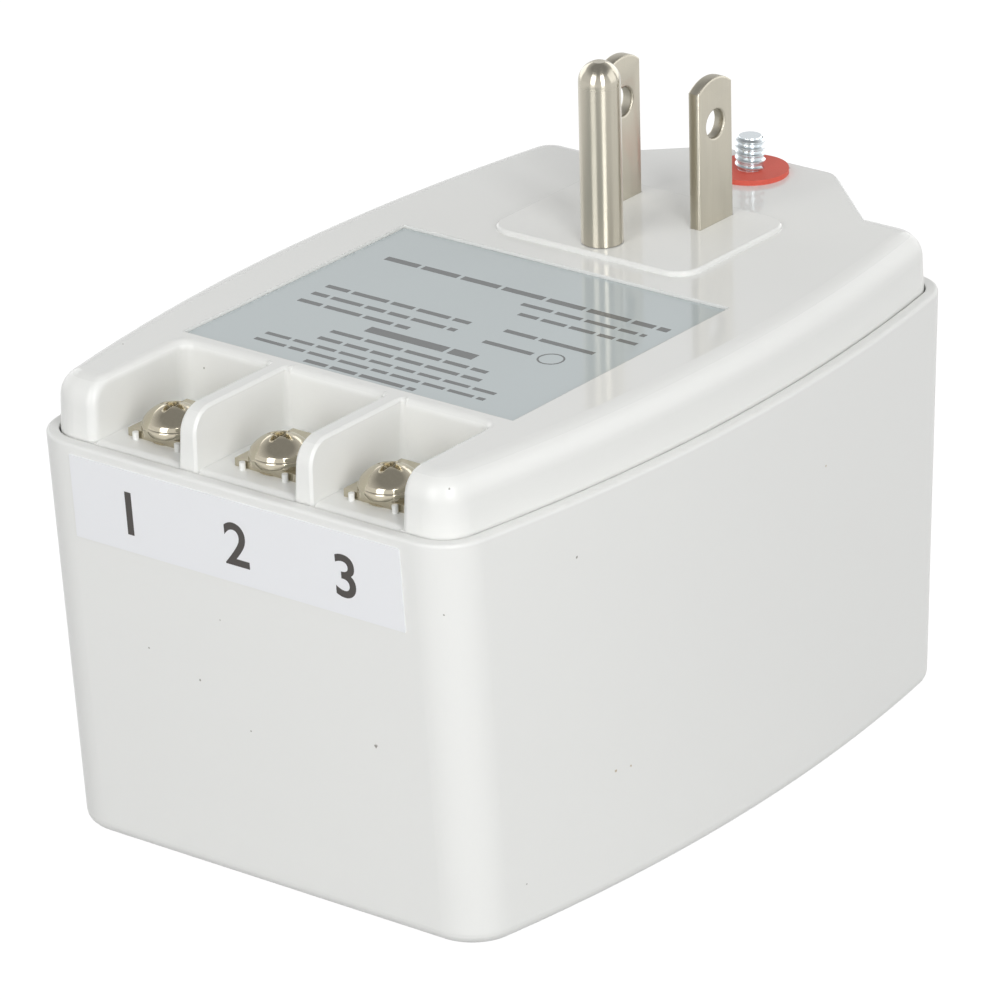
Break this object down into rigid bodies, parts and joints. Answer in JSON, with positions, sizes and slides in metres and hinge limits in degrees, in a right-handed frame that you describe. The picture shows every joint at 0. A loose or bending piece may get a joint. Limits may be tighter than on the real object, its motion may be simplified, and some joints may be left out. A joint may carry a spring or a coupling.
{
  "type": "plug in ac transformer",
  "caption": "Plug-in transformer: a deep plastic case with grounded plug prongs, a mounting tab with a captive screw and a row of screw terminals in open bays.",
  "frame": {"origin": "centre of the flat base of the case, on the plane of symmetry", "axes": "+Z out of the base towards the prongs, +Y from the terminal end to the tab end, +X across the case"},
  "size_m": [0.0658, 0.0982, 0.0763],
  "materials": {
    "case_plastic": "grey white moulded plastic, low gloss",
    "cover_plastic": "grey white moulded plastic, glossy top",
    "rating_label": "grey blue film label",
    "terminal_label": "white paper label",
    "prong_nickel": "warm nickel plate on brass",
    "screw_zinc": "bluish zinc plate",
    "red_fibre": "red vulcanised fibre",
    "terminal_nickel": "bright nickel plate",
    "core_steel": "varnished steel laminations",
    "bobbin_plastic": "natural nylon",
    "copper_wire": "enamelled copper",
    "yellow_tape": "polyester tape",
    "fuse_shell": "sealed metal case",
    "black_insulation": "soft wire insulation",
    "white_insulation": "soft wire insulation",
    "green_insulation": "soft wire insulation",
    "blue_insulation": "soft wire insulation"
  },
  "bodies": {
    "root": {"rear_case": "case_plastic", "front_cover": "cover_plastic", "rating_label": "rating_label", "terminal_label": "terminal_label", "blade_left": "prong_nickel", "blade_right": "prong_nickel", "ground_pin": "prong_nickel", "tab_screw": "screw_zinc", "tab_washer": "red_fibre", "terminal_plate_1": "terminal_nickel", "terminal_plate_2": "terminal_nickel", "terminal_plate_3": "terminal_nickel", "terminal_screw_1": "terminal_nickel", "terminal_screw_2": "terminal_nickel", "terminal_screw_3": "terminal_nickel", "core_e_stack": "core_steel", "core_i_stack": "core_steel", "bobbin": "bobbin_plastic", "primary_winding": "copper_wire", "secondary_winding": "copper_wire", "primary_tape": "yellow_tape", "secondary_tape": "yellow_tape", "thermal_fuse": "fuse_shell", "lead_line": "black_insulation", "lead_neutral": "white_insulation", "lead_ground": "green_insulation", "lead_secondary_1": "blue_insulation", "lead_secondary_2": "blue_insulation"}
  },
  "joints": []
}
